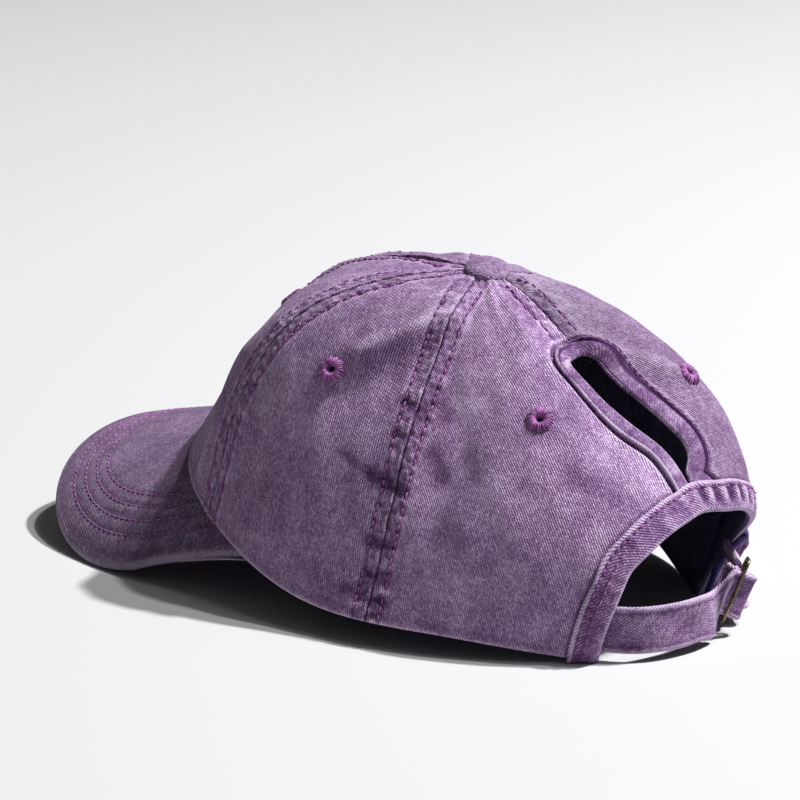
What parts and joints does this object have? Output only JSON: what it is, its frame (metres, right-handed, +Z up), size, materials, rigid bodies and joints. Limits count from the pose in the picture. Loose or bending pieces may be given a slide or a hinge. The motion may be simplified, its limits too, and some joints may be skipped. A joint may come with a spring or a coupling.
{
  "type": "ponytail baseball cap",
  "caption": "Soft washed cotton cap of sewn panels with a curved brim, eyelets, a covered top button, a ponytail slot and a cloth strap fastened in a metal slide buckle.",
  "frame": {"origin": "on the surface the cap lies on, under the middle of its bounding box", "axes": "+X towards the wearer's left, -Y towards the brim at the front, +Z up through the crown"},
  "size_m": [0.1568, 0.273, 0.1127],
  "materials": {
    "washed_twill": "washed, faded cotton twill with pale worn seam edges",
    "embroidery_thread": "satin stitched thread",
    "sweatband_cloth": "plain dark cotton tape",
    "aged_brass": "darkened antique brass with bright worn edges"
  },
  "bodies": {
    "root": {"front_left_panel": "washed_twill", "side_left_panel": "washed_twill", "back_left_panel": "washed_twill", "back_right_panel": "washed_twill", "side_right_panel": "washed_twill", "front_right_panel": "washed_twill", "front_left_eyelet": "embroidery_thread", "side_left_eyelet": "embroidery_thread", "back_left_eyelet": "embroidery_thread", "back_right_eyelet": "embroidery_thread", "side_right_eyelet": "embroidery_thread", "front_right_eyelet": "embroidery_thread", "brim": "washed_twill", "sweatband": "sweatband_cloth", "arch_binding": "washed_twill", "slot_binding": "washed_twill", "strap_long_arm": "washed_twill", "strap_short_arm": "washed_twill", "strap_buckle": "aged_brass", "top_button": "washed_twill"}
  },
  "joints": []
}
